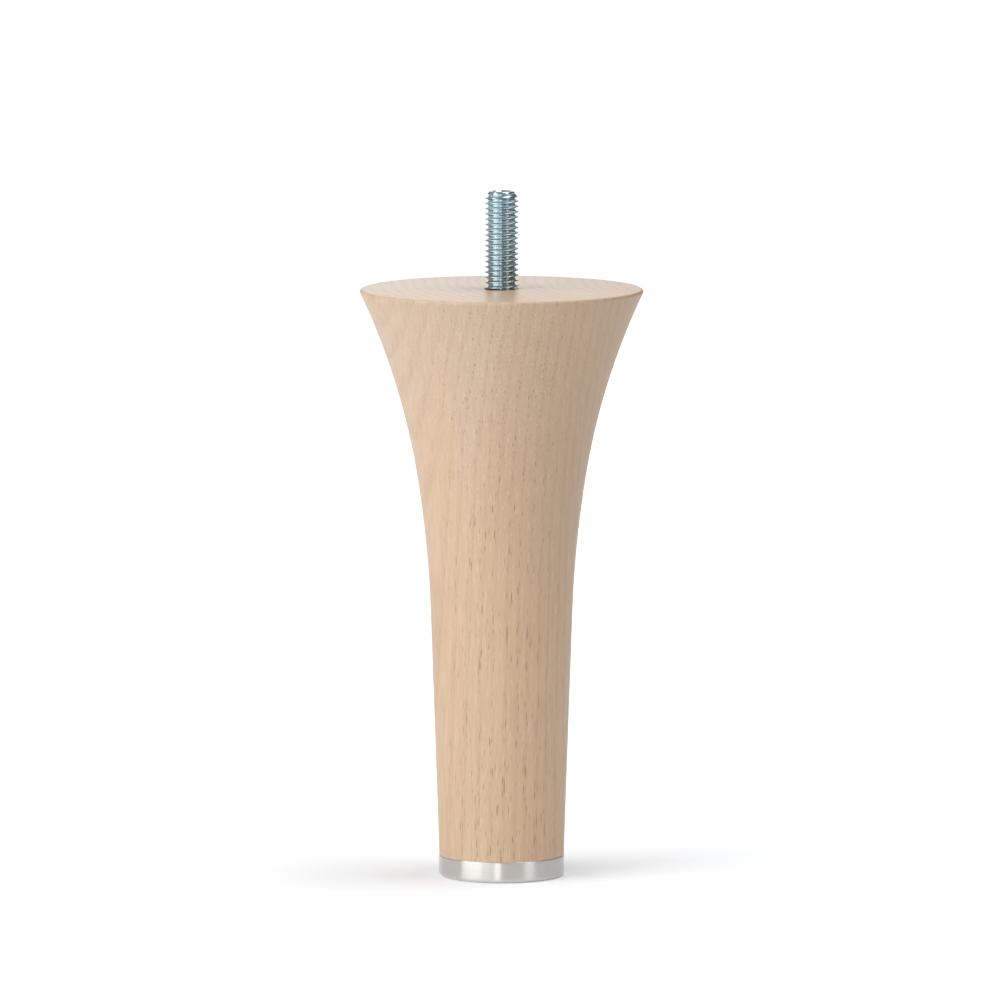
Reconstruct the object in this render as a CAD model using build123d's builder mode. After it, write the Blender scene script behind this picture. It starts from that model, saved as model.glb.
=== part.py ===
"""Turned oak bed leg with a threaded stud on top and a metal cap on its foot.

Millimetres, +Z up along the axis of the leg. The origin is the middle of the cap's
underside, where the leg stands on the floor.
"""

import os

from build123d import *

# Turned leg: a slim taper from the foot, then a trumpet flare up to the seat
leg_height = 140.0  # floor to the seat under the bed frame
seat_diameter = 67.8  # over the sharp corner, before its edge is rounded
shoulder_diameter = 39.8  # where the flare quickens
shoulder_drop = 45.0  # from the seat down to that shoulder
waist_diameter = 33.6  # where the straight taper ends
flare_height = 77.3  # from the seat down to the waist
foot_diameter = 29.6  # where the wood meets the cap
rim_rounding = 0.6

# Hanger bolt: a machine thread above the seat, a wood screw below it
stud_diameter = 8.0  # over the crests of the machine thread
stud_reach = 23.2  # above the seat
stud_tip_diameter = 5.8  # flat end of the stud
stud_tip_height = 1.6  # of the chamfer from that end to the full thread
screw_diameter = 7.2  # over the crests of the wood thread
screw_depth = 36.0  # below the seat, to the tip of the point
screw_point = 9.0  # height of the cone at its end
bolt_clearance = 0.15  # all round, in the drilled hole

# Foot cap: a turned cup over a spigot on the wood
cap_diameter = 29.9
cap_height = 5.0
cap_wall = 1.4
cap_base = 2.6
cap_edge_rounding = 1.0
cap_lip_chamfer = 0.2
spigot_clearance = 0.1  # round the spigot, in the cup
spigot_end_gap = 0.2  # so that the wood's shoulder seats on the lip
spigot_lead = 0.5  # chamfer that leads the spigot into the cup

# Wood screw that holds the cap, countersunk into its underside
fixing_diameter = 3.5
fixing_length = 20.0
fixing_point = 5.0
fixing_head_diameter = 7.0
fixing_head_rim = 0.3  # straight edge of the head, before its 90 degree cone
fixing_sink = 0.3  # of the head's face, above the floor
fixing_clearance = 0.1
drive_width = 1.1  # cross recess in the head
drive_span = 4.0
drive_depth = 1.3
drive_taper = 8.0

# Levels and radii that follow from the sizes above
stud_top = leg_height + stud_reach
stud_radius = stud_diameter / 2
screw_radius = screw_diameter / 2
thread_runout = stud_radius - screw_radius  # a 45 degree cone below the machine thread
screw_tip = leg_height - screw_depth
cap_radius = cap_diameter / 2
socket_radius = cap_radius - cap_wall
spigot_radius = socket_radius - spigot_clearance
spigot_end = cap_base + spigot_end_gap
fixing_radius = fixing_diameter / 2
fixing_head_radius = fixing_head_diameter / 2
fixing_tip = fixing_sink + fixing_length

os.makedirs("parts", exist_ok=True)


def screw_outline(clearance):
    """Half outline of the hanger bolt below the seat, grown by a clearance for its hole."""
    return [
        (stud_radius + clearance, leg_height),
        (screw_radius + clearance, leg_height - thread_runout),
        (screw_radius + clearance, screw_tip + screw_point),
        (0, screw_tip - clearance),
    ]


def fixing_outline(bottom, clearance):
    """Half outline of the cap's screw from a bottom level, grown by a clearance for its hole."""
    head = fixing_head_radius + clearance
    shank = fixing_radius + clearance
    rim_top = fixing_sink + fixing_head_rim
    return [
        (0, bottom),
        (head, bottom),
        (head, rim_top),
        (shank, rim_top + head - shank),
        (shank, fixing_tip - fixing_point),
        (0, fixing_tip + clearance),
    ]


with BuildPart() as turned_leg:
    with BuildSketch(Plane.XZ):
        with BuildLine():
            taper = Line(
                (foot_diameter / 2, cap_height),
                (waist_diameter / 2, leg_height - flare_height),
            )
            lower_flare = TangentArc(
                taper @ 1,
                (shoulder_diameter / 2, leg_height - shoulder_drop),
                tangent=taper % 1,
            )
            upper_flare = TangentArc(
                lower_flare @ 1,
                (seat_diameter / 2, leg_height),
                tangent=lower_flare % 1,
            )
            Polyline(
                upper_flare @ 1,
                (0, leg_height),
                (0, spigot_end),
                (spigot_radius - spigot_lead, spigot_end),
                (spigot_radius, spigot_end + spigot_lead),
                (spigot_radius, cap_height),
                taper @ 0,
            )
        make_face()
    revolve(axis=Axis.Z)
    rim = turned_leg.edges().group_by(Axis.Z)[-1]
    fillet(rim, radius=rim_rounding)
    # Hole for the hanger bolt, drilled down from the seat
    with BuildSketch(Plane.XZ):
        with BuildLine():
            Polyline((0, leg_height), *screw_outline(bolt_clearance), close=True)
        make_face()
    revolve(axis=Axis.Z, mode=Mode.SUBTRACT)
    # Pilot hole for the cap's screw, drilled up from the spigot
    with BuildSketch(Plane.XZ):
        with BuildLine():
            Polyline(*fixing_outline(0, fixing_clearance), close=True)
        make_face()
    revolve(axis=Axis.Z, mode=Mode.SUBTRACT)
turned_leg.part.label = "turned_leg"
export_step(turned_leg.part, "parts/turned_leg.step")


with BuildPart() as hanger_bolt:
    with BuildSketch(Plane.XZ):
        with BuildLine():
            Polyline(
                (0, stud_top),
                (stud_tip_diameter / 2, stud_top),
                (stud_radius, stud_top - stud_tip_height),
                *screw_outline(0),
                close=True,
            )
        make_face()
    revolve(axis=Axis.Z)
hanger_bolt.part.label = "hanger_bolt"
export_step(hanger_bolt.part, "parts/hanger_bolt.step")


with BuildPart() as foot_cap:
    with BuildSketch(Plane.XZ):
        with BuildLine():
            Polyline(
                (0, 0),
                (cap_radius, 0),
                (cap_radius, cap_height),
                (socket_radius, cap_height),
                (socket_radius, cap_base),
                (0, cap_base),
                close=True,
            )
        make_face()
    revolve(axis=Axis.Z)
    outer_edges = foot_cap.edges().filter_by(GeomType.CIRCLE).group_by(SortBy.RADIUS)[-1].sort_by(Axis.Z)
    fillet(outer_edges[0], radius=cap_edge_rounding)
    chamfer(outer_edges[-1], length=cap_lip_chamfer)
    # Countersunk hole for the screw, up through the base
    with BuildSketch(Plane.XZ):
        with BuildLine():
            Polyline(*fixing_outline(0, fixing_clearance), close=True)
        make_face()
    revolve(axis=Axis.Z, mode=Mode.SUBTRACT)
foot_cap.part.label = "foot_cap"
export_step(foot_cap.part, "parts/foot_cap.step")


with BuildPart() as cap_screw:
    with BuildSketch(Plane.XZ):
        with BuildLine():
            Polyline(*fixing_outline(fixing_sink, 0), close=True)
        make_face()
    revolve(axis=Axis.Z)
    # Cross recess for the driver, narrowing into the head
    with BuildSketch(Plane.XY.offset(fixing_sink)):
        Rectangle(drive_span, drive_width)
        Rectangle(drive_width, drive_span)
    extrude(amount=drive_depth, taper=drive_taper, mode=Mode.SUBTRACT)
cap_screw.part.label = "cap_screw"
export_step(cap_screw.part, "parts/cap_screw.step")
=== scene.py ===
"""Turned oak bed leg with a threaded stud and a metal foot cap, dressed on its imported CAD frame.

Metres, +Z up along the leg's axis, origin on the floor under the foot. A name that ends in _mm holds
millimetres, the unit that the grain and the tool marks of the materials are given in.
"""

import math
from functools import partial

import bmesh
import bpy
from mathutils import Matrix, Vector


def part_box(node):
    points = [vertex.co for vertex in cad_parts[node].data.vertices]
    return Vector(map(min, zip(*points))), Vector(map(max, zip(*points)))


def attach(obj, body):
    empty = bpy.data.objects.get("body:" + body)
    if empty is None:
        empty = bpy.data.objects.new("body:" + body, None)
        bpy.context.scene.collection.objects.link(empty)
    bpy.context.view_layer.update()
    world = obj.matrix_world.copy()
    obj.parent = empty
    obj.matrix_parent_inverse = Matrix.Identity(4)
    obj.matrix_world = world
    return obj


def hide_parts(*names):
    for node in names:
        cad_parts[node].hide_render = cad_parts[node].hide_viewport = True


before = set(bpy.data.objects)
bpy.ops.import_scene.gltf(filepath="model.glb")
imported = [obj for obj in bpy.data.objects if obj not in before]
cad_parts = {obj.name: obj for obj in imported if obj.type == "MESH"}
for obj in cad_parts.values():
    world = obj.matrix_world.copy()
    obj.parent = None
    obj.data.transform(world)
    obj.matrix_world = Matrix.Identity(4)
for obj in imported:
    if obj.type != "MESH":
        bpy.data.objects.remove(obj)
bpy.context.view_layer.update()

bl_info = {
    "name": "Turned Bed Leg",
    "version": (1, 0, 0),
    "blender": (4, 5, 0),
    "location": "3D View > Sidebar > Bed Leg",
    "description": "Builds a flared oak bed leg with its threaded stud, its foot cap and a studio",
    "category": "Object",
}

MM = 0.001
WELD = 1e-6  # points closer than this are one point
SWEEP_RADIUS = 0.05  # of the circle that an outline is swept round; the outline is set off by as much
SMOOTH_ANGLE = math.radians(32.0)  # edges that turn by more stay crisp
THREAD_SMOOTH_ANGLE = math.radians(75.0)  # wide enough for the crests of a thread to shine as if rounded
WHITE = (1.0, 1.0, 1.0, 1.0)
BLACK = (0.0, 0.0, 0.0, 1.0)
THREAD_LENGTHS = (
    "Crest Radius", "Root Radius", "Pitch", "Shift", "Bottom", "Bottom Radius", "Bottom Taper",
    "Top", "Top Radius", "Top Taper",
)

LEG_LOW, LEG_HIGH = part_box("turned_leg")
BOLT_LOW, BOLT_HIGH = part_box("hanger_bolt")
CAP_LOW, CAP_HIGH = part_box("foot_cap")


# Sizes, colours and light that a user can change


def linear(code):
    """Turn an sRGB hex colour into linear red, green, blue and alpha."""
    channels = [int(code[start : start + 2], 16) / 255.0 for start in (1, 3, 5)]
    values = [c / 12.92 if c <= 0.04045 else ((c + 0.055) / 1.055) ** 2.4 for c in channels]
    return (*values, 1.0)


def length(name, description, default):
    """A length in metres."""
    return bpy.props.FloatProperty(
        name=name, description=description, default=default, precision=5, unit="LENGTH", subtype="DISTANCE"
    )


def colour(name, description, code):
    """A colour, from its sRGB hex value."""
    return bpy.props.FloatVectorProperty(
        name=name, description=description, default=linear(code), size=4, min=0.0, max=1.0, subtype="COLOR"
    )


def number(name, description, default):
    """A plain number."""
    return bpy.props.FloatProperty(name=name, description=description, default=default)


def power(name, description, default):
    """A lamp's power in watts."""
    return bpy.props.FloatProperty(name=name, description=description, default=default, min=0.0, unit="POWER")


def angle(name, description, degrees):
    """An angle, given in degrees."""
    return bpy.props.FloatProperty(
        name=name, description=description, default=math.radians(degrees), unit="ROTATION", subtype="ANGLE"
    )


class LegSizes(bpy.types.PropertyGroup):
    """Sizes of the turned leg, with the holes and the spigot that take the other pieces."""

    leg_height: length("Leg height", "From the floor to the seat", LEG_HIGH.z)
    seat_diameter: length("Seat diameter", "Over the sharp corner, before it is rounded", 67.8 * MM)
    shoulder_diameter: length("Shoulder diameter", "Where the flare quickens", 39.8 * MM)
    shoulder_drop: length("Shoulder drop", "From the seat down to the shoulder", 45.0 * MM)
    waist_diameter: length("Waist diameter", "Where the straight taper ends", 33.6 * MM)
    flare_height: length("Flare height", "From the seat down to the waist", 77.3 * MM)
    foot_diameter: length("Foot diameter", "Where the wood meets the cap", 29.6 * MM)
    rim_rounding: length("Rim rounding", "Radius of the seat's edge", 0.6 * MM)
    bolt_clearance: length("Bolt clearance", "All round the bolt in its hole", 0.15 * MM)
    spigot_clearance: length("Spigot clearance", "Round the spigot in the cap", 0.1 * MM)
    spigot_end: length("Spigot end", "Height of the spigot's end above the floor", LEG_LOW.z)
    spigot_lead: length("Spigot lead", "Chamfer on the spigot's end", 0.5 * MM)
    pilot_diameter: length("Pilot diameter", "Of the hole for the cap's screw", 3.7 * MM)
    pilot_end: length("Pilot end", "Height of the pilot hole's end above the floor", 20.4 * MM)
    pilot_point: length("Pilot point", "Height of the cone at the pilot hole's end", 5.1 * MM)


class BoltSizes(bpy.types.PropertyGroup):
    """Sizes of the hanger bolt: a machine thread above the seat and a wood thread below it."""

    stud_diameter: length("Stud diameter", "Over the crests of the machine thread", 8.0 * MM)
    stud_root: length("Stud root", "Diameter at the roots of the machine thread", 6.2 * MM)
    stud_pitch: length("Stud pitch", "Spacing of the machine thread", 1.25 * MM)
    stud_top: length("Stud top", "Height of the stud's end above the floor", BOLT_HIGH.z)
    stud_bottom: length("Stud bottom", "Height of the machine thread's lower end above the floor", 139.2 * MM)
    tip_diameter: length("Tip diameter", "Flat end of the stud", 5.8 * MM)
    tip_height: length("Tip height", "Of the chamfer at the stud's end", 1.6 * MM)
    tip_rounding: length("Tip rounding", "Radius between the stud's end and its chamfer", 0.28 * MM)
    end_rim: length("End rim", "Width of the flat ring round the hollow in the stud's end", 0.6 * MM)
    end_hollow: length("End hollow", "Depth of the hollow that rolling the thread leaves", 0.35 * MM)
    thread_shift: length("Thread shift", "Moves the machine thread along the stud", -0.19 * MM)
    neck_diameter: length("Neck diameter", "Plain shank, and crests of the wood thread", 7.2 * MM)
    neck_bottom: length("Neck bottom", "Height of the plain shank's lower end above the floor", 135.0 * MM)
    screw_root: length("Screw root", "Diameter at the roots of the wood thread", 5.0 * MM)
    screw_pitch: length("Screw pitch", "Spacing of the wood thread", 3.2 * MM)
    screw_tip: length("Screw tip", "Height of the point above the floor", BOLT_LOW.z)
    screw_point: length("Screw point", "Height of the cone at the point", 9.0 * MM)


class CapSizes(bpy.types.PropertyGroup):
    """Sizes of the cup that covers the foot, and of the countersunk hole in its base."""

    cap_diameter: length("Cap diameter", "Over the outside", CAP_HIGH.x - CAP_LOW.x)
    cap_height: length("Cap height", "From the floor to the lip", CAP_HIGH.z)
    cap_wall: length("Cap wall", "Thickness round the spigot", 1.4 * MM)
    cap_base: length("Cap base", "Thickness under the spigot", 2.6 * MM)
    edge_rounding: length("Edge rounding", "Radius of the edge at the floor", 1.0 * MM)
    lip_rounding: length("Lip rounding", "Radius of the edge under the wood", 0.2 * MM)
    sink_diameter: length("Sink diameter", "Of the countersink at the underside", 7.2 * MM)
    sink_rim: length("Sink rim", "Straight height of the countersink", 0.6 * MM)
    sink_hole: length("Sink hole", "Diameter of the hole for the screw's shank", 3.7 * MM)


class FinishColours(bpy.types.PropertyGroup):
    """Colours of the wood, the metals and the paper."""

    oak_pale: colour("Oak, pale", "Late wood between the pore bands", "#D5BDA4")
    oak_warm: colour("Oak, warm", "Slow bands of warmer wood", "#DBBA97")
    # Painted shade: mixed in darker on the right and upper part of the leg, the side away from the key light
    oak_painted_shade: colour("Oak, painted shade", "Painted shade, darkest on the right of the flare", "#C8A582")
    oak_streak: colour("Oak, streak", "Fine streaks along the fibres", "#C1A183")
    oak_fleck: colour("Oak, fleck", "Pale flecks of solid fibre", "#EBDAC6")
    oak_pore: colour("Oak, pore", "Open pores of the early wood", "#8F6A4E")
    zinc: colour("Zinc", "Bluish zinc plate on the stud", "#C2CFD8")
    zinc_tint: colour("Zinc, tint", "Greener patches of the zinc plate", "#B3C8CA")
    stainless: colour("Stainless steel", "Turned metal of the foot cap", "#DBD8D3")
    screw_steel: colour("Screw steel", "Plated metal of the cap's screw", "#A6ADB1")
    paper: colour("Paper", "White paper under and behind the leg", "#F3F5F8")


class StudioSettings(bpy.types.PropertyGroup):
    """Camera and light of the studio. A bearing is turned from the camera's side, to the right."""

    lens: bpy.props.FloatProperty(
        name="Lens", description="Focal length on a 36 mm sensor", default=414.0, unit="CAMERA"
    )
    camera_distance: length("Camera distance", "In front of the leg's axis", 2.7087)
    camera_height: length("Camera height", "Above the floor", 0.4005)
    camera_side: length("Camera side", "To the right of the leg's axis", -0.38 * MM)
    aim_height: length("Aim height", "Point of the leg's axis at the middle of the picture", 89.7 * MM)
    key_power: power("Key power", "Large softbox at the front left", 7.8)
    key_bearing: angle("Key bearing", "Direction of the softbox", -58.0)
    fill_power: power("Fill power", "Soft panel high at the right", 9.0)
    fill_bearing: angle("Fill bearing", "Direction of the soft panel", 95.0)
    strip_power: power("Strip power", "Lamp behind the camera", 8.5)
    strip_bearing: angle("Strip bearing", "Direction of the lamp behind the camera", -7.6)
    left_card_power: power("Left card power", "Low panel beside the softbox", 1.3)
    left_card_bearing: angle("Left card bearing", "Direction of the left card", -24.0)
    right_card_power: power("Right card power", "Low panel at the front right", 1.7)
    right_card_bearing: angle("Right card bearing", "Direction of the right card", 54.0)
    left_wall: number("Left wall", "Light that the left of the room gives", 0.46)
    right_wall: number("Right wall", "Light that the right of the room gives", 0.12)
    near_lift: number("Near lift", "Brings the paper at the foot to white where it is seen", 0.155)
    far_lift: number("Far lift", "Brings the paper past the lamps to white where it is seen", 0.8)


# Trees that draw outlines, turn them and cut threads


def fill_inputs(node, inputs):
    """Fill a node's inputs, by name or by number, with values or with what they are linked from.

    A link comes from a socket, from a node, which stands for its first output in use, or from a list.
    """
    in_use = {socket.name: socket for socket in reversed(node.inputs) if socket.enabled}
    for key, value in inputs.items():
        target = node.inputs[key] if isinstance(key, int) else in_use[key]
        for source in value if isinstance(value, list) else [value]:
            if isinstance(source, bpy.types.Node):
                source = next(socket for socket in source.outputs if socket.enabled)
            if isinstance(source, bpy.types.NodeSocket):
                node.id_data.links.new(source, target)
            else:
                target.default_value = source


def add_node(tree, kind, inputs=None, **settings):
    """Add a node with its settings and links."""
    node = tree.nodes.new(kind)
    for name, value in settings.items():
        setattr(node, name, value)
    fill_inputs(node, inputs or {})
    return node


def new_tree(name, inputs, outputs):
    """Start a Geometry Nodes tree; return it, what adds nodes to it and its group input's sockets."""
    tree = bpy.data.node_groups.new(name, "GeometryNodeTree")
    for direction, sockets in (("INPUT", inputs), ("OUTPUT", outputs)):
        for label, kind in sockets.items():
            tree.interface.new_socket(label, in_out=direction, socket_type=f"NodeSocket{kind}")
    add = partial(add_node, tree)
    return tree, add, add("NodeGroupInput").outputs


def tangent_arc_tree():
    """Arc from a start to an end point that leaves the start along a given unit tangent."""
    tree, add, entry = new_tree(
        "Tangent Arc",
        {"Start": "Vector", "End": "Vector", "Tangent": "Vector", "Steps": "Int"},
        {"Curve": "Geometry", "Tangent": "Vector"},
    )
    start, end, tangent = entry["Start"], entry["End"], entry["Tangent"]
    chord = add("ShaderNodeVectorMath", {0: end, 1: start}, operation="SUBTRACT")
    span = add("ShaderNodeVectorMath", {0: chord}, operation="LENGTH")
    along = add("ShaderNodeVectorMath", {0: chord}, operation="NORMALIZE")
    lean = add("ShaderNodeVectorMath", {0: along, 1: tangent}, operation="DOT_PRODUCT")
    kept = add("ShaderNodeVectorMath", {0: along, "Scale": lean}, operation="SCALE")
    bow = add("ShaderNodeVectorMath", {0: tangent, 1: kept}, operation="SUBTRACT")
    # The arc's middle stands off the chord's middle by span * bow / (2 + 2 * lean)
    share = add("ShaderNodeMath", {0: lean, 1: 2.0, 2: 2.0}, operation="MULTIPLY_ADD")
    rise = add("ShaderNodeMath", {0: span, 1: share}, operation="DIVIDE")
    offset = add("ShaderNodeVectorMath", {0: bow, "Scale": rise}, operation="SCALE")
    total = add("ShaderNodeVectorMath", {0: start, 1: end}, operation="ADD")
    halfway = add("ShaderNodeVectorMath", {0: total, "Scale": 0.5}, operation="SCALE")
    middle = add("ShaderNodeVectorMath", {0: halfway, 1: offset}, operation="ADD")
    arc = add(
        "GeometryNodeCurveArc",
        {"Resolution": entry["Steps"], "Start": start, "Middle": middle, "End": end},
        mode="POINTS",
    )
    twice = add("ShaderNodeVectorMath", {0: kept, "Scale": 2.0}, operation="SCALE")
    leaving = add("ShaderNodeVectorMath", {0: twice, 1: tangent}, operation="SUBTRACT")
    add("NodeGroupOutput", {"Curve": arc, "Tangent": leaving})
    return tree


def lathe_tree():
    """Round the corners of outlines in the XZ plane and turn them about Z."""
    tree, add, entry = new_tree(
        "Lathe", {"Outline": "Geometry", "Segments": "Int", "Rounding Steps": "Int"}, {"Mesh": "Geometry"}
    )
    chain = add("GeometryNodeMeshToCurve", {"Mesh": entry["Outline"]})
    rounding = add("GeometryNodeInputNamedAttribute", {"Name": "rounding"}, data_type="FLOAT")
    eased = add(
        "GeometryNodeFilletCurve",
        {"Curve": chain, "Count": entry["Rounding Steps"], "Radius": rounding, "Limit Radius": True},
        mode="POLY",
    )
    place = add("GeometryNodeInputPosition")
    parts = add("ShaderNodeSeparateXYZ", {0: place}).outputs
    out = add("ShaderNodeMath", {0: parts["X"], 1: SWEEP_RADIUS}, operation="SUBTRACT")
    down = add("ShaderNodeMath", {0: parts["Z"], 1: -1.0}, operation="MULTIPLY")
    flat = add("ShaderNodeCombineXYZ", {"X": out, "Y": down})
    profile = add("GeometryNodeSetPosition", {"Geometry": eased, "Position": flat})
    circle = add(
        "GeometryNodeCurvePrimitiveCircle", {"Radius": SWEEP_RADIUS, "Resolution": entry["Segments"]}
    )
    upright = add("GeometryNodeSetCurveNormal", {"Curve": circle}, mode="Z_UP")
    swept = add("GeometryNodeCurveToMesh", {"Curve": upright, "Profile Curve": profile})
    add("NodeGroupOutput", {"Mesh": swept})
    return tree


def thread_tree():
    """Right-handed screw thread: one strip wound round Z, closed to a circle at each end."""
    inputs = dict.fromkeys(THREAD_LENGTHS, "Float") | {"Segments": "Int", "Steps": "Int"}
    tree, add, entry = new_tree("Thread", inputs, {"Mesh": "Geometry"})
    bottom, top, pitch, segments = entry["Bottom"], entry["Top"], entry["Pitch"], entry["Segments"]
    crest_end = 1.0 / 16.0  # half the crest's flat, as a share of the pitch
    root_middle = 1.0 / 2.0
    hollow = 1.5  # power by which the flanks curve into a round root
    spare_turns = 3.0  # wound past the ends, where they fold into the end circles

    # A strip of one pitch by as many turns as the height takes
    height = add("ShaderNodeMath", {0: top, 1: bottom}, operation="SUBTRACT")
    pitches = add("ShaderNodeMath", {0: height, 1: pitch}, operation="DIVIDE")
    turns = add("ShaderNodeMath", {0: pitches, 1: spare_turns}, operation="ADD")
    steps = add("ShaderNodeMath", {0: turns, 1: segments}, operation="MULTIPLY")
    columns = add("ShaderNodeMath", {0: steps}, operation="CEIL")
    across = add("ShaderNodeMath", {0: columns, 1: 1.0}, operation="ADD")
    along = add("ShaderNodeMath", {0: entry["Steps"], 1: 1.0}, operation="ADD")
    strip = add(
        "GeometryNodeMeshGrid",
        {"Size X": columns, "Size Y": 1.0, "Vertices X": across, "Vertices Y": along},
    )
    place = add("GeometryNodeInputPosition")
    parts = add("ShaderNodeSeparateXYZ", {0: place}).outputs
    step = add("ShaderNodeMath", {0: columns, 1: 0.5, 2: parts["X"]}, operation="MULTIPLY_ADD")
    turn = add("ShaderNodeMath", {0: step, 1: segments}, operation="DIVIDE")

    # Height along the screw, held between the two ends
    wound = add("ShaderNodeMath", {0: turn, 1: parts["Y"]}, operation="ADD")
    climb = add("ShaderNodeMath", {0: wound, 1: spare_turns / 2.0}, operation="SUBTRACT")
    start = add("ShaderNodeMath", {0: bottom, 1: entry["Shift"]}, operation="ADD")
    free = add("ShaderNodeMath", {0: climb, 1: pitch, 2: start}, operation="MULTIPLY_ADD")
    level = add("ShaderNodeClamp", {"Value": free, "Min": bottom, "Max": top})

    # Radius from crest to root, cut by the chamfer at the top and faded out at the bottom
    off_crest = add("ShaderNodeMath", {0: parts["Y"]}, operation="ABSOLUTE")
    straight = add(
        "ShaderNodeMapRange",
        {"Value": off_crest, "From Min": crest_end, "From Max": root_middle, "To Min": 1.0, "To Max": 0.0},
    )
    curved = add("ShaderNodeMath", {0: straight, 1: hollow}, operation="POWER")
    form = add("ShaderNodeMix", {"Factor": curved, "A": entry["Root Radius"], "B": entry["Crest Radius"]})
    chamfer_start = add("ShaderNodeMath", {0: top, 1: entry["Top Taper"]}, operation="SUBTRACT")
    chamfer = add(
        "ShaderNodeMapRange",
        {
            "Value": level,
            "From Min": chamfer_start,
            "From Max": top,
            "To Min": entry["Crest Radius"],
            "To Max": entry["Top Radius"],
        },
    )
    cut = add("ShaderNodeMath", {0: form, 1: chamfer}, operation="MINIMUM")
    fade_end = add("ShaderNodeMath", {0: bottom, 1: entry["Bottom Taper"]}, operation="ADD")
    fade = add("ShaderNodeMapRange", {"Value": level, "From Min": bottom, "From Max": fade_end})
    radius = add("ShaderNodeMix", {"Factor": fade, "A": entry["Bottom Radius"], "B": cut})

    bearing = add("ShaderNodeMath", {0: turn, 1: math.tau}, operation="MULTIPLY")
    cosine = add("ShaderNodeMath", {0: bearing}, operation="COSINE")
    sine = add("ShaderNodeMath", {0: bearing}, operation="SINE")
    x = add("ShaderNodeMath", {0: cosine, 1: radius}, operation="MULTIPLY")
    y = add("ShaderNodeMath", {0: sine, 1: radius}, operation="MULTIPLY")
    spot = add("ShaderNodeCombineXYZ", {"X": x, "Y": y, "Z": level})
    screwed = add("GeometryNodeSetPosition", {"Geometry": strip, "Position": spot})
    add("NodeGroupOutput", {"Mesh": screwed})
    return tree


# Trees of the pieces


def new_piece_tree(name, lengths, counts):
    """Start the tree of a piece, which works on an outline and takes a material, lengths and counts."""
    inputs = {"Geometry": "Geometry", "Material": "Material"}
    inputs |= dict.fromkeys(lengths, "Float") | dict.fromkeys(counts, "Int")
    return new_tree(name, inputs, {"Geometry": "Geometry"})


def turn_outline(add, entry, outline):
    """Put an outline on the lathe, in as many steps as the piece's tree is given."""
    sockets = {"Outline": outline, "Segments": entry["Segments"], "Rounding Steps": entry["Rounding Steps"]}
    return add("GeometryNodeGroup", sockets, node_tree=lathe_tree())


def end_tree(add, entry, mesh):
    """End a piece's tree: weld its seams, realise any instances and set its material."""
    welded = add("GeometryNodeMergeByDistance", {"Geometry": mesh, "Distance": WELD})
    real = add("GeometryNodeRealizeInstances", {"Geometry": welded})
    dressed = add("GeometryNodeSetMaterial", {"Geometry": real, "Material": entry["Material"]})
    add("NodeGroupOutput", {"Geometry": dressed})


def turned_leg_tree():
    """Join a taper and two tangent arcs to the outline of the joinery, round the rim and turn the whole."""
    names = ("Foot", "Waist", "Shoulder", "Seat", "Mouth")
    lengths = [f"{name} {size}" for name in names for size in ("Diameter", "Drop")]
    lengths += ["Leg Height", "Rim Rounding"]
    tree, add, entry = new_piece_tree("Turned Leg", lengths, ("Arc Steps", "Segments", "Rounding Steps"))
    stations = {}
    for name in names:
        radius = add("ShaderNodeMath", {0: entry[f"{name} Diameter"], 1: 2.0}, operation="DIVIDE")
        drop = entry[f"{name} Drop"]
        level = add("ShaderNodeMath", {0: entry["Leg Height"], 1: drop}, operation="SUBTRACT")
        stations[name] = add("ShaderNodeCombineXYZ", {"X": radius, "Z": level})

    foot, waist = stations["Foot"], stations["Waist"]
    taper = add("GeometryNodeCurvePrimitiveLine", {"Start": foot, "End": waist})
    rise = add("ShaderNodeVectorMath", {0: waist, 1: foot}, operation="SUBTRACT")
    tangent = add("ShaderNodeVectorMath", {0: rise}, operation="NORMALIZE")
    arc_tree = tangent_arc_tree()
    arcs = []
    for start, end in (("Waist", "Shoulder"), ("Shoulder", "Seat")):
        arc = add(
            "GeometryNodeGroup",
            {"Start": stations[start], "End": stations[end], "Tangent": tangent, "Steps": entry["Arc Steps"]},
            node_tree=arc_tree,
        )
        tangent = arc.outputs["Tangent"]
        arcs.append(arc)
    seat = add("GeometryNodeCurvePrimitiveLine", {"Start": stations["Seat"], "End": stations["Mouth"]})
    curves = add("GeometryNodeJoinGeometry", {0: [taper, *arcs, seat]})
    edges = add("GeometryNodeCurveToMesh", {"Curve": curves})
    loose = add("GeometryNodeJoinGeometry", {0: [edges, entry["Geometry"]]})
    outline = add("GeometryNodeMergeByDistance", {"Geometry": loose, "Distance": WELD})

    # The rim is the one corner as far out as the seat
    place = add("GeometryNodeInputPosition")
    out = add("ShaderNodeSeparateXYZ", {0: place}).outputs["X"]
    corner = add("ShaderNodeMath", {0: entry["Seat Diameter"], 1: 0.5, 2: -WELD}, operation="MULTIPLY_ADD")
    at_corner = add("ShaderNodeMath", {0: out, 1: corner}, operation="GREATER_THAN")
    marked = add(
        "GeometryNodeStoreNamedAttribute",
        {"Geometry": outline, "Selection": at_corner, "Name": "rounding", "Value": entry["Rim Rounding"]},
        data_type="FLOAT",
        domain="POINT",
    )
    end_tree(add, entry, turn_outline(add, entry, marked))
    return tree


def hanger_bolt_tree():
    """Machine thread and wood thread, welded to the plain neck and end that are turned between them."""
    threads = ("Stud", "Screw")
    lengths = [f"{thread} {name}" for thread in threads for name in THREAD_LENGTHS]
    tree, add, entry = new_piece_tree("Hanger Bolt", lengths, ("Segments", "Steps", "Rounding Steps"))
    cutter = thread_tree()
    parts = []
    for thread in threads:
        sockets = {name: entry[f"{thread} {name}"] for name in THREAD_LENGTHS}
        sockets |= {"Segments": entry["Segments"], "Steps": entry["Steps"]}
        parts.append(add("GeometryNodeGroup", sockets, node_tree=cutter))
    parts.append(turn_outline(add, entry, entry["Geometry"]))
    end_tree(add, entry, add("GeometryNodeJoinGeometry", {0: parts}))
    return tree


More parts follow.
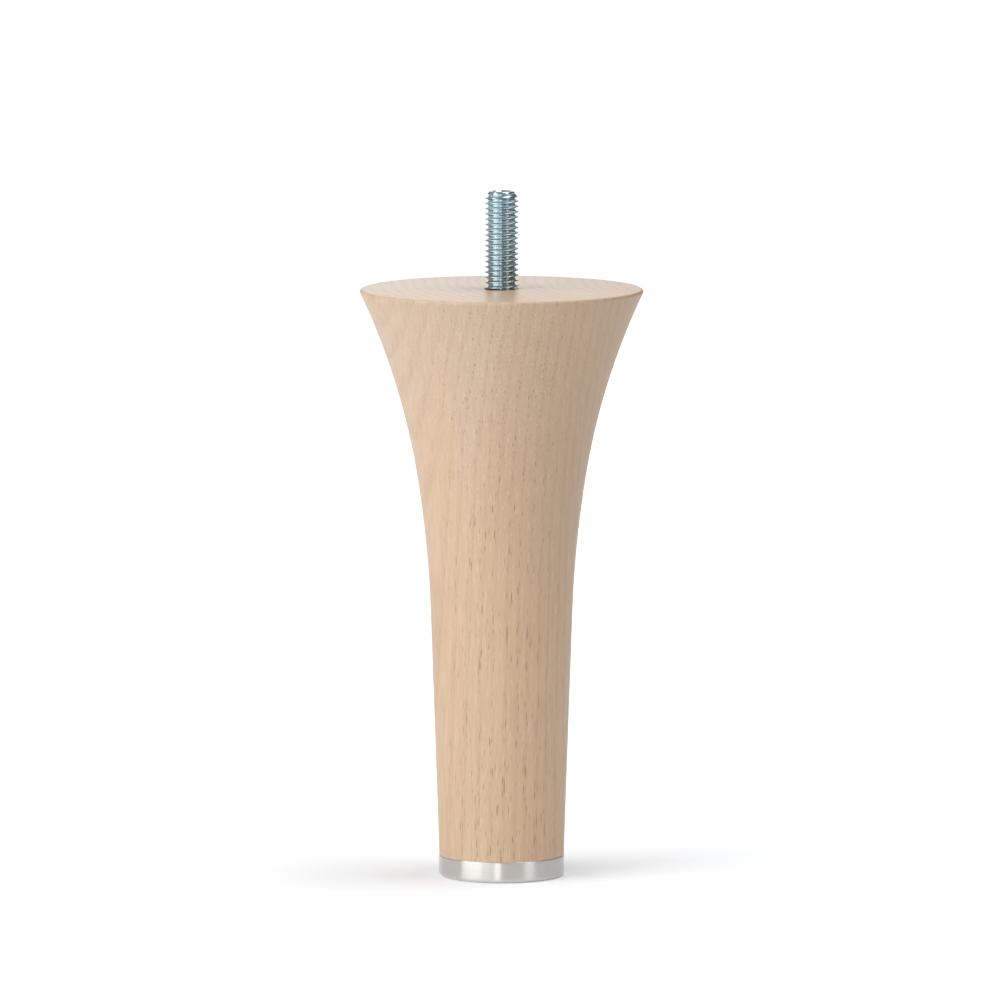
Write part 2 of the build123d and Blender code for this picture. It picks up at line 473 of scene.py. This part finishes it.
def foot_cap_tree():
    """Turn the outline of the cup, with its edges rounded."""
    tree, add, entry = new_piece_tree("Foot Cap", (), ("Segments", "Rounding Steps"))
    end_tree(add, entry, turn_outline(add, entry, entry["Geometry"]))
    return tree


def draw_outline(name, chains):
    """Draw chains of (radius, height, rounding) corners as edges in the XZ plane."""
    corners = [corner for chain in chains for corner in chain]
    edges = []
    first = 0
    for chain in chains:
        edges += [(first + step, first + step + 1) for step in range(len(chain) - 1)]
        first += len(chain)
    outline = bpy.data.meshes.new(name)
    outline.from_pydata([(radius, 0.0, level) for radius, level, rounding in corners], edges, [])
    roundings = outline.attributes.new("rounding", "FLOAT", "POINT")
    roundings.data.foreach_set("value", [rounding for radius, level, rounding in corners])
    return outline


def make_piece(name, chains, tree, values, smooth_angle=SMOOTH_ANGLE):
    """Run a tree on an outline, keep the result as a closed plain mesh and let it ride on the one body."""
    piece = bpy.data.objects.new(name, draw_outline(name, chains))
    bpy.context.scene.collection.objects.link(piece)
    modifier = piece.modifiers.new(tree.name, "NODES")
    modifier.node_group = tree
    for socket in tree.interface.items_tree:
        if socket.in_out == "INPUT" and socket.name in values:
            modifier[socket.identifier] = values[socket.name]
    evaluated = piece.evaluated_get(bpy.context.evaluated_depsgraph_get())
    mesh = bpy.data.meshes.new_from_object(evaluated)
    piece.modifiers.remove(modifier)
    piece.data = mesh
    surface = bmesh.new()
    surface.from_mesh(mesh)
    bmesh.ops.recalc_face_normals(surface, faces=surface.faces)
    open_edges = sum(not edge.is_manifold for edge in surface.edges)
    surface.to_mesh(mesh)
    surface.free()
    if open_edges or not mesh.polygons:
        raise RuntimeError(f"{name} came out with {len(mesh.polygons)} faces and {open_edges} open edges")
    mesh.shade_smooth()
    mesh.set_sharp_from_angle(angle=smooth_angle)
    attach(piece, "root")
    return piece


# Materials


def new_material(name):
    """Start a material; return it, what adds nodes to it and its shader."""
    material = bpy.data.materials.new(name)
    material.use_nodes = True
    tree = material.node_tree
    return material, partial(add_node, tree), tree.nodes["Principled BSDF"]


def oak_fibres(add, place_mm):
    """Place in the blank, in millimetres, along fibres that waver a little on their way up."""
    waver_mm = 1.6
    cell_mm = (30.0, 30.0, 140.0)
    cell = add("ShaderNodeVectorMath", {0: place_mm, 1: cell_mm}, operation="DIVIDE")
    noise = add("ShaderNodeTexNoise", {"Vector": cell, "Scale": 1.0, "Detail": 1.0})
    inputs = {0: noise.outputs["Color"], 1: (0.5, 0.5, 0.5)}
    centred = add("ShaderNodeVectorMath", inputs, operation="SUBTRACT")
    inputs = {0: centred, 1: (2.0 * waver_mm, 2.0 * waver_mm, 0.0)}
    sway = add("ShaderNodeVectorMath", inputs, operation="MULTIPLY")
    return add("ShaderNodeVectorMath", {0: place_mm, 1: sway}, operation="ADD")


def oak_rings(add, fibre, band):
    """Distance from the pith in millimetres, and yearly rings whose early wood opens sharply."""
    pith_mm = (110.0, 22.0, 0.0)  # outside the blank
    ring_mm = 2.7
    unevenness = 0.8  # in rings, how far the bands push a ring in or out
    from_pith = add("ShaderNodeVectorMath", {0: fibre, 1: pith_mm}, operation="SUBTRACT")
    level = add("ShaderNodeVectorMath", {0: from_pith, 1: (1.0, 1.0, 0.0)}, operation="MULTIPLY")
    reach = add("ShaderNodeVectorMath", {0: level}, operation="LENGTH")
    years = add("ShaderNodeMath", {0: reach, 1: ring_mm}, operation="DIVIDE")
    uneven = add("ShaderNodeMath", {0: band, 1: unevenness, 2: years}, operation="MULTIPLY_ADD")
    season = add("ShaderNodeMath", {0: uneven}, operation="FRACT")
    early_wood = add("ShaderNodeValToRGB", {"Fac": season})
    for new_year in early_wood.color_ramp.elements:
        new_year.color = BLACK
    for position, share in ((0.06, 1.0), (0.26, 0.85), (0.44, 0.0)):
        early_wood.color_ramp.elements.new(position).color = (share, share, share, 1.0)
    return reach, early_wood


def oak_pores(add, fibre, early_wood):
    """Pores of two sizes, as long thin cells that crowd into the early wood, and the pale flecks between."""
    fine_strength = 0.8  # of the fine pores, beside the wide ones
    pores, flecks = [], []
    for cell_mm, late_wood_odds in (((0.55, 0.55, 7.0), 0.08), ((0.36, 0.36, 3.6), 0.16)):
        cell_place = add("ShaderNodeVectorMath", {0: fibre, 1: cell_mm}, operation="DIVIDE")
        cell = add("ShaderNodeTexVoronoi", {"Vector": cell_place, "Scale": 1.0}).outputs
        lots = add("ShaderNodeSeparateColor", {0: cell["Color"]}).outputs
        width = add("ShaderNodeMapRange", {"Value": lots["Red"], "To Min": 0.2, "To Max": 0.38})
        inside = add("ShaderNodeMath", {0: cell["Distance"], 1: width}, operation="DIVIDE")
        hollow = add(
            "ShaderNodeMapRange",
            {"Value": inside, "From Min": 0.5, "From Max": 1.0, "To Min": 1.0, "To Max": 0.0},
            interpolation_type="SMOOTHSTEP",
        )
        odds = add("ShaderNodeMapRange", {"Value": early_wood, "To Min": late_wood_odds})
        chosen = add("ShaderNodeMath", {0: lots["Green"], 1: odds}, operation="LESS_THAN")
        depth = add("ShaderNodeMapRange", {"Value": lots["Blue"], "To Min": 0.65})
        kept = add("ShaderNodeMath", {0: chosen, 1: depth}, operation="MULTIPLY")
        pores.append(add("ShaderNodeMath", {0: hollow, 1: kept}, operation="MULTIPLY"))
        empty = add("ShaderNodeMath", {0: 1.0, 1: chosen}, operation="SUBTRACT")
        flecks.append(add("ShaderNodeMath", {0: hollow, 1: empty}, operation="MULTIPLY"))
    fine = add("ShaderNodeMath", {0: pores[1], 1: fine_strength}, operation="MULTIPLY")
    pore = add("ShaderNodeMath", {0: pores[0], 1: fine}, operation="MAXIMUM")
    fleck = add("ShaderNodeMath", {0: flecks[0], 1: flecks[1]}, operation="MAXIMUM")
    return pore, fleck


def oak(colours):
    """Oak, turned from one blank, sanded and matt lacquered."""
    # Straight pale grain: lines of open early wood pores, drawn out along the fibres, with smooth late wood
    # between. The rings curve about a pith outside the blank, so the seat shows them as lines across it.
    top_mm = LEG_HIGH.z / MM
    pore_depth_mm = 0.05
    band_warmth = 0.9  # how much the soft bands differ in warmth
    fleck_strength = 0.32
    pore_dulling = 0.2  # roughness that an open pore adds to the film
    grain_relief = 0.2  # depth of the streaks beside that of a pore
    material, add, shader = new_material("Oak, turned, sanded and matt lacquered")
    coordinates = add("ShaderNodeTexCoord").outputs
    place_mm = add("ShaderNodeVectorMath", {0: coordinates["Object"], "Scale": 1.0 / MM}, operation="SCALE")
    height = add("ShaderNodeSeparateXYZ", {0: place_mm}).outputs["Z"]
    facing = add("ShaderNodeSeparateXYZ", {0: coordinates["Normal"]}).outputs
    along_ring = add("ShaderNodeMath", {0: facing["X"]}, operation="ABSOLUTE")
    fibre = oak_fibres(add, place_mm)

    # Soft bands and fine streaks along the fibres, and rays that run across them from ring to ring
    noises = []
    for cell_mm, detail, roughness in (
        ((3.2, 14.0, 180.0), 2.0, 0.5),
        ((0.55, 2.2, 9.0), 3.0, 0.6),
        ((14.0, 0.6, 60.0), 1.0, 0.5),
    ):
        cell = add("ShaderNodeVectorMath", {0: fibre, 1: cell_mm}, operation="DIVIDE")
        inputs = {"Vector": cell, "Scale": 1.0, "Detail": detail, "Roughness": roughness}
        noises.append(add("ShaderNodeTexNoise", inputs))
    band, streak, ray = noises
    reach, early_wood = oak_rings(add, fibre, band)
    open_pore, open_fleck = oak_pores(add, fibre, early_wood)

    # Shares that change over a span: what they follow, the span's start and end, and the shares there. Height
    # and reach, the distance from the pith, are in millimetres.
    spans = {
        "end grain": (facing["Z"], 0.8, 1.0, 0.0, 1.0),
        "ring cut": (along_ring, 0.25, 1.0, 1.0, 0.3),
        "ray": (ray, 0.54, 0.72, 0.0, 1.0),
        "streak": (streak, 0.3, 0.8, 0.0, 0.58),
        "low warmth": (height, 60.0, top_mm, 0.3, -0.55),
        # Painted shade: these three spans darken the right of the leg above the foot, where it lies in shade
        "painted shade depth": (reach, 80.0, 98.0, 0.8, 0.3),
        "painted shade fade": (reach, 118.0, 124.0, 1.0, 0.0),
        "above foot": (height, 50.0, 95.0, 0.0, 1.0),
        "pore tone": (height, 0.0, top_mm, 1.0, 0.45),
    }
    sockets = ("Value", "From Min", "From Max", "To Min", "To Max")
    shares = {}
    for name, span in spans.items():
        shares[name] = add("ShaderNodeMapRange", dict(zip(sockets, span)))

    # The seat is end grain with rays for flecks, and a side that lies along the rings cuts fewer pores
    end_grain, ring_cut = shares["end grain"], shares["ring cut"]
    side_grain = add("ShaderNodeMath", {0: 1.0, 1: end_grain}, operation="SUBTRACT")
    pore = add("ShaderNodeMath", {0: open_pore, 1: ring_cut}, operation="MULTIPLY")
    side_fleck = add("ShaderNodeMath", {0: open_fleck, 1: ring_cut}, operation="MULTIPLY")
    fleck = add("ShaderNodeMix", {"Factor": end_grain, "A": side_fleck, "B": shares["ray"]})

    # Warmer towards the foot; painted shade on the right of the leg above the foot, darker nearer the pith
    # off to the right; then streaks, rings and pores
    inputs = {0: band, 1: band_warmth, 2: shares["low warmth"]}
    warm_share = add("ShaderNodeMath", inputs, operation="MULTIPLY_ADD", use_clamp=True)
    inputs = {0: shares["painted shade fade"], 1: shares["above foot"]}
    shaded_part = add("ShaderNodeMath", inputs, operation="MULTIPLY")
    painted_shade_share = add("ShaderNodeMath", {0: shaded_part, 1: shares["painted shade depth"]}, operation="MULTIPLY")
    fibre_share = add("ShaderNodeMath", {0: shares["streak"], 1: side_grain}, operation="MULTIPLY")
    ring_depth = add("ShaderNodeMapRange", {"Value": end_grain, "To Min": 0.14, "To Max": 0.24})
    inputs = {0: early_wood, 1: ring_depth, 2: fibre_share}
    grain_share = add("ShaderNodeMath", inputs, operation="MULTIPLY_ADD")
    fleck_share = add("ShaderNodeMath", {0: fleck, 1: fleck_strength}, operation="MULTIPLY")
    pore_share = add("ShaderNodeMath", {0: pore, 1: shares["pore tone"]}, operation="MULTIPLY")

    # Each colour goes over the ones before it
    wood = colours.oak_pale
    for share, tone in (
        # The second colour is painted shade on the right of the leg
        (warm_share, colours.oak_warm),
        (painted_shade_share, colours.oak_painted_shade),
        (grain_share, colours.oak_streak),
        (fleck_share, colours.oak_fleck),
        (pore_share, colours.oak_pore),
    ):
        wood = add("ShaderNodeMix", {"Factor": share, "A": wood, "B": tone}, data_type="RGBA")

    # A thin matt film that sinks into the pores
    film = add("ShaderNodeMapRange", {"Value": end_grain, "To Min": 0.48, "To Max": 0.3})
    matt = add("ShaderNodeMath", {0: pore, 1: pore_dulling, 2: film}, operation="MULTIPLY_ADD")
    sunk = add("ShaderNodeMath", {0: grain_share, 1: grain_relief, 2: pore}, operation="MULTIPLY_ADD")
    inputs = {"Height": sunk, "Strength": 0.6, "Distance": pore_depth_mm * MM}
    bump = add("ShaderNodeBump", inputs, invert=True)
    fill_inputs(shader, {"Base Color": wood, "Roughness": matt, "Normal": bump, "IOR": 1.46})
    return material


def zinc_plated_steel(colours):
    """Steel with bright bluish zinc plate."""
    # A cool mirror-like skin, a little cloudy, that goes faintly green in patches.
    cloud_mm = 1.8
    material, add, shader = new_material("Steel, bright zinc plated")
    place = add("ShaderNodeTexCoord").outputs["Object"]
    cloud = add("ShaderNodeTexNoise", {"Vector": place, "Scale": 1.0 / (cloud_mm * MM), "Detail": 2.0})
    inputs = {"Factor": cloud, "A": colours.zinc, "B": colours.zinc_tint}
    tint = add("ShaderNodeMix", inputs, data_type="RGBA")
    gloss = add("ShaderNodeMapRange", {"Value": cloud, "To Min": 0.13, "To Max": 0.21})
    fill_inputs(shader, {"Base Color": tint, "Roughness": gloss, "Metallic": 1.0})
    return material


def satin_stainless(colours):
    """Stainless steel, turned and finely brushed round its axis."""
    # Fine lines run round the cap, so light spreads along its height and falls into upright bands.
    line_mm = 0.22  # coarser than the real brushing, so that it shows
    line_stretch = (0.02, 0.02, 1.0)  # draws the lines out round the cap and keeps them thin along its height
    material, add, shader = new_material("Stainless steel, turned and brushed")
    place = add("ShaderNodeTexCoord").outputs["Object"]
    drawn_out = add("ShaderNodeVectorMath", {0: place, 1: line_stretch}, operation="MULTIPLY")
    line = add("ShaderNodeTexNoise", {"Vector": drawn_out, "Scale": 1.0 / (line_mm * MM), "Detail": 2.0})
    shade = add("ShaderNodeMapRange", {"Value": line, "To Min": 0.93, "To Max": 1.07})
    tone = add("ShaderNodeVectorMath", {0: colours.stainless[:3], "Scale": shade}, operation="SCALE")
    satin = add("ShaderNodeMapRange", {"Value": line, "To Min": 0.31, "To Max": 0.37})
    tangent = add("ShaderNodeTangent", direction_type="RADIAL", axis="Z")
    fill_inputs(shader, {"Base Color": tone, "Roughness": satin, "Tangent": tangent, "Metallic": 1.0})
    fill_inputs(shader, {"Anisotropic": 0.97, "Anisotropic Rotation": 0.25})
    return material


def screw_steel(colours):
    """Plated steel of the cap's wood screw."""
    # Dull grey metal with a fine mottle from barrel plating.
    mottle_mm = 0.5
    material, add, shader = new_material("Steel, barrel plated")
    place = add("ShaderNodeTexCoord").outputs["Object"]
    mottle = add("ShaderNodeTexNoise", {"Vector": place, "Scale": 1.0 / (mottle_mm * MM), "Detail": 3.0})
    gloss = add("ShaderNodeMapRange", {"Value": mottle, "To Min": 0.26, "To Max": 0.48})
    fill_inputs(shader, {"Base Color": colours.screw_steel, "Roughness": gloss, "Metallic": 1.0})
    return material


def white_paper(colours, studio):
    """Matt white paper, lifted to full white where it is seen."""
    # Evenly white, with nothing but the leg's soft shadow on it.
    near, far = 0.02, 4.0  # from the leg; over each tenfold step between, the lift grows by as much
    material, add, shader = new_material("Paper, matt white")
    place = add("ShaderNodeTexCoord").outputs["Object"]
    reach = add("ShaderNodeVectorMath", {0: place}, operation="LENGTH")
    tenfolds = add("ShaderNodeMath", {0: reach, 1: 10.0}, operation="LOGARITHM")
    evened = add(
        "ShaderNodeMapRange",
        {
            "Value": tenfolds,
            "From Min": math.log10(near),
            "From Max": math.log10(far),
            "To Min": studio.near_lift,
            "To Max": studio.far_lift,
        },
    )
    # Lifted for the camera, reflections and glass, and not for the light that the paper sends on
    path = add("ShaderNodeLightPath").outputs
    seen = add("ShaderNodeMath", {0: path["Is Camera Ray"], 1: path["Is Glossy Ray"]}, operation="ADD")
    inputs = {0: seen, 1: path["Is Transmission Ray"]}
    seen_at_all = add("ShaderNodeMath", inputs, operation="ADD", use_clamp=True)
    lift = add("ShaderNodeMath", {0: seen_at_all, 1: evened}, operation="MULTIPLY")
    fill_inputs(shader, {"Base Color": colours.paper, "Roughness": 1.0, "Specular IOR Level": 0.0})
    fill_inputs(shader, {"Emission Color": WHITE, "Emission Strength": lift})
    return material


# Operators, one for each piece and one for the stage


class BEDLEG_OT_turned_leg(bpy.types.Operator):
    """Turn the oak leg, with its flare, its spigot and the holes for the bolt and the screw"""

    bl_idname = "bed_leg.turned_leg"
    bl_label = "Turned leg"

    def execute(self, context):
        leg, bolt, cap = context.scene.leg_sizes, context.scene.bolt_sizes, context.scene.cap_sizes
        thread_hole = bolt.stud_diameter / 2 + leg.bolt_clearance
        screw_hole = bolt.neck_diameter / 2 + leg.bolt_clearance
        spigot = cap.cap_diameter / 2 - cap.cap_wall - leg.spigot_clearance
        pilot = leg.pilot_diameter / 2
        bolt_hole = [
            (thread_hole, leg.leg_height, 0.0),
            (screw_hole, leg.leg_height - thread_hole + screw_hole, 0.0),
            (screw_hole, bolt.screw_tip + bolt.screw_point, 0.0),
            (0.0, bolt.screw_tip - leg.bolt_clearance, 0.0),
        ]
        foot = [
            (leg.foot_diameter / 2, cap.cap_height, 0.0),
            (spigot, cap.cap_height, 0.0),
            (spigot, leg.spigot_end + leg.spigot_lead, 0.0),
            (spigot - leg.spigot_lead, leg.spigot_end, 0.0),
            (pilot, leg.spigot_end, 0.0),
            (pilot, leg.pilot_end - leg.pilot_point, 0.0),
            (0.0, leg.pilot_end, 0.0),
        ]
        values = {
            "Leg Height": leg.leg_height,
            "Foot Diameter": leg.foot_diameter,
            "Foot Drop": leg.leg_height - cap.cap_height,
            "Waist Diameter": leg.waist_diameter,
            "Waist Drop": leg.flare_height,
            "Shoulder Diameter": leg.shoulder_diameter,
            "Shoulder Drop": leg.shoulder_drop,
            "Seat Diameter": leg.seat_diameter,
            "Mouth Diameter": 2 * thread_hole,
            "Rim Rounding": leg.rim_rounding,
            "Arc Steps": 40,
            "Segments": 192,
            "Rounding Steps": 6,
            "Material": oak(context.scene.finish_colours),
        }
        piece = make_piece("oak_leg", [bolt_hole, foot], turned_leg_tree(), values)
        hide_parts("turned_leg")
        return {"FINISHED"}


class BEDLEG_OT_hanger_bolt(bpy.types.Operator):
    """Cut the hanger bolt's machine thread and wood thread"""

    bl_idname = "bed_leg.hanger_bolt"
    bl_label = "Hanger bolt"

    def execute(self, context):
        bolt = context.scene.bolt_sizes
        stud_root, neck, screw_root = bolt.stud_root / 2, bolt.neck_diameter / 2, bolt.screw_root / 2
        screw_top = bolt.neck_bottom - neck + screw_root
        tip, tip_edge = bolt.tip_diameter / 2, bolt.tip_rounding
        chamfer_run = (bolt.stud_diameter / 2 - tip) * tip_edge / bolt.tip_height
        hollow_rim = tip - bolt.end_rim
        end = [
            (0.0, bolt.stud_top - bolt.end_hollow, 0.0),
            (hollow_rim - bolt.end_hollow, bolt.stud_top - bolt.end_hollow, bolt.end_hollow),
            (hollow_rim, bolt.stud_top, bolt.end_hollow / 2),
            (tip, bolt.stud_top, tip_edge),
            (tip + chamfer_run, bolt.stud_top - tip_edge, 0.0),
        ]
        shank = [
            (stud_root, bolt.stud_bottom, 0.0),
            (neck, bolt.stud_bottom + stud_root - neck, 0.0),
            (neck, bolt.neck_bottom, 0.0),
            (screw_root, screw_top, 0.0),
        ]
        values = {
            "Stud Crest Radius": bolt.stud_diameter / 2,
            "Stud Root Radius": stud_root,
            "Stud Pitch": bolt.stud_pitch,
            "Stud Shift": bolt.thread_shift,
            "Stud Bottom": bolt.stud_bottom,
            "Stud Bottom Radius": stud_root,
            "Stud Bottom Taper": bolt.stud_diameter / 2 - stud_root,
            "Stud Top": bolt.stud_top - tip_edge,
            "Stud Top Radius": tip + chamfer_run,
            "Stud Top Taper": bolt.tip_height - tip_edge,
            "Screw Crest Radius": neck,
            "Screw Root Radius": screw_root,
            "Screw Pitch": bolt.screw_pitch,
            "Screw Bottom": bolt.screw_tip,
            "Screw Bottom Taper": bolt.screw_point,
            "Screw Top": screw_top,
            "Screw Top Radius": screw_root,
            "Screw Top Taper": bolt.screw_pitch,
            "Segments": 64,
            "Steps": 16,
            "Rounding Steps": 6,
            "Material": zinc_plated_steel(context.scene.finish_colours),
        }
        piece = make_piece("threaded_bolt", [end, shank], hanger_bolt_tree(), values, THREAD_SMOOTH_ANGLE)
        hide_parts("hanger_bolt")
        return {"FINISHED"}


class BEDLEG_OT_foot_cap(bpy.types.Operator):
    """Turn the metal cup that covers the foot"""

    bl_idname = "bed_leg.foot_cap"
    bl_label = "Foot cap"

    def execute(self, context):
        cap = context.scene.cap_sizes
        outside, sink, hole = cap.cap_diameter / 2, cap.sink_diameter / 2, cap.sink_hole / 2
        socket = outside - cap.cap_wall
        cup = [
            (hole, cap.cap_base, 0.0),
            (socket, cap.cap_base, 0.0),
            (socket, cap.cap_height, 0.0),
            (outside, cap.cap_height, cap.lip_rounding),
            (outside, 0.0, cap.edge_rounding),
            (sink, 0.0, 0.0),
            (sink, cap.sink_rim, 0.0),
            (hole, cap.sink_rim + sink - hole, 0.0),
            (hole, cap.cap_base, 0.0),
        ]
        values = {
            "Segments": 192,
            "Rounding Steps": 8,
            "Material": satin_stainless(context.scene.finish_colours),
        }
        piece = make_piece("metal_cap", [cup], foot_cap_tree(), values)
        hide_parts("foot_cap")
        return {"FINISHED"}


class BEDLEG_OT_cap_screw(bpy.types.Operator):
    """Give the screw under the cap its plated finish"""

    bl_idname = "bed_leg.cap_screw"
    bl_label = "Cap screw"

    def execute(self, context):
        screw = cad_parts["cap_screw"]
        screw.data.materials.clear()
        screw.data.materials.append(screw_steel(context.scene.finish_colours))
        return {"FINISHED"}


class BEDLEG_OT_stage(bpy.types.Operator):
    """Set up the paper floor, the pale room, the lamps and the camera"""

    bl_idname = "bed_leg.stage"
    bl_label = "Studio"

    def execute(self, context):
        scene, studio = context.scene, context.scene.studio
        self.hang_paper(scene, studio)
        self.light_room(scene, studio)
        self.hang_lamps(scene, studio)
        self.aim_camera(scene, studio)
        scene.view_settings.view_transform = "Standard"
        return {"FINISHED"}

    def hang_paper(self, scene, studio):
        """A sheet of paper that lies under the leg and sweeps up behind it."""
        half_width = 1.0
        front = -0.9
        bend = 3.0  # behind the leg, where the paper starts to sweep up
        bend_radius = 1.0
        bend_steps = 24
        top = 3.5
        under = -0.02 * MM  # a hair below the foot, so that the two faces do not share one plane
        turns = [math.radians(90.0) * step / bend_steps for step in range(bend_steps + 1)]
        curve = [(bend + bend_radius * math.sin(turn), bend_radius * (1 - math.cos(turn))) for turn in turns]
        profile = [(front, 0.0), *curve, (bend + bend_radius, top)]
        points = [(side * half_width, y, under + z) for y, z in profile for side in (-1, 1)]
        faces = [(row, row + 1, row + 3, row + 2) for row in range(0, len(points) - 2, 2)]
        sheet = bpy.data.meshes.new("paper_sweep")
        sheet.from_pydata(points, [], faces)
        sheet.shade_smooth()
        sheet.materials.append(white_paper(scene.finish_colours, studio))
        sweep = bpy.data.objects.new("paper_sweep", sheet)
        scene.collection.objects.link(sweep)

    def light_room(self, scene, studio):
        """Pale walls all round, dimmer on the right."""
        room = bpy.data.worlds.new("pale room")
        room.use_nodes = True
        add = partial(add_node, room.node_tree)
        direction = add("ShaderNodeTexCoord").outputs["Generated"]
        side = add("ShaderNodeSeparateXYZ", {0: direction}).outputs["X"]
        inputs = {"Value": side, "From Min": -1.0, "To Min": studio.left_wall, "To Max": studio.right_wall}
        glow = add("ShaderNodeMapRange", inputs)
        fill_inputs(room.node_tree.nodes["Background"], {"Color": WHITE, "Strength": glow})
        scene.world = room

    def hang_lamps(self, scene, studio):
        """Five panels, turned to the middle of the leg."""
        leg_middle = Vector((0.0, 0.0, LEG_HIGH.z / 2))
        # Name, bearing, distance from the leg's axis, height above the floor, size and power
        lamps = (
            ("key softbox", studio.key_bearing, 0.95, 0.66, (0.88, 1.1), studio.key_power),
            ("fill panel", studio.fill_bearing, 0.5, 1.5, (0.9, 0.9), studio.fill_power),
            ("strip", studio.strip_bearing, 3.2, 0.6, (0.6, 1.2), studio.strip_power),
            ("left card", studio.left_card_bearing, 1.5, 0.5, (0.4, 0.9), studio.left_card_power),
            ("right card", studio.right_card_bearing, 1.5, 0.5, (0.5, 0.9), studio.right_card_power),
        )
        for name, bearing, distance, height, size, watts in lamps:
            light = bpy.data.lights.new(name, "AREA")
            light.shape = "RECTANGLE"
            light.size, light.size_y = size
            light.energy = watts
            lamp = bpy.data.objects.new(name, light)
            lamp.location = (distance * math.sin(bearing), -distance * math.cos(bearing), height)
            lamp.rotation_euler = (leg_middle - lamp.location).to_track_quat("-Z", "Y").to_euler()
            scene.collection.objects.link(lamp)

    def aim_camera(self, scene, studio):
        """A long lens in front of the leg, a little above it."""
        camera = bpy.data.objects.new("camera", bpy.data.cameras.new("camera"))
        camera.data.lens = studio.lens
        camera.data.sensor_width = 36.0
        camera.location = (studio.camera_side, -studio.camera_distance, studio.camera_height)
        aim = Vector((studio.camera_side, 0.0, studio.aim_height))
        camera.rotation_euler = (aim - camera.location).to_track_quat("-Z", "Y").to_euler()
        scene.collection.objects.link(camera)
        scene.camera = camera


class BEDLEG_PT_pieces(bpy.types.Panel):
    """The leg's pieces and its studio"""

    bl_idname = "BEDLEG_PT_pieces"
    bl_label = "Bed Leg"
    bl_space_type = "VIEW_3D"
    bl_region_type = "UI"
    bl_category = "Bed Leg"

    def draw(self, context):
        for operator in OPERATORS:
            self.layout.operator(operator.bl_idname)
        for name, group in SETTINGS.items():
            box = self.layout.box()
            for setting in group.__annotations__:
                box.prop(getattr(context.scene, name), setting)


SETTINGS = {
    "leg_sizes": LegSizes,
    "bolt_sizes": BoltSizes,
    "cap_sizes": CapSizes,
    "finish_colours": FinishColours,
    "studio": StudioSettings,
}
OPERATORS = (
    BEDLEG_OT_turned_leg,
    BEDLEG_OT_hanger_bolt,
    BEDLEG_OT_foot_cap,
    BEDLEG_OT_cap_screw,
    BEDLEG_OT_stage,
)


def register():
    """Add the settings, the operators and the panel."""
    for name, group in SETTINGS.items():
        bpy.utils.register_class(group)
        setattr(bpy.types.Scene, name, bpy.props.PointerProperty(type=group))
    for item in (*OPERATORS, BEDLEG_PT_pieces):
        bpy.utils.register_class(item)


def unregister():
    """Take the panel, the operators and the settings away again."""
    for item in (BEDLEG_PT_pieces, *reversed(OPERATORS)):
        bpy.utils.unregister_class(item)
    for name, group in reversed(SETTINGS.items()):
        delattr(bpy.types.Scene, name)
        bpy.utils.unregister_class(group)


def main():
    """Build the leg and its studio."""
    register()
    bpy.ops.bed_leg.turned_leg()
    bpy.ops.bed_leg.hanger_bolt()
    bpy.ops.bed_leg.foot_cap()
    bpy.ops.bed_leg.cap_screw()
    bpy.ops.bed_leg.stage()


if __name__ == "__main__":
    main()
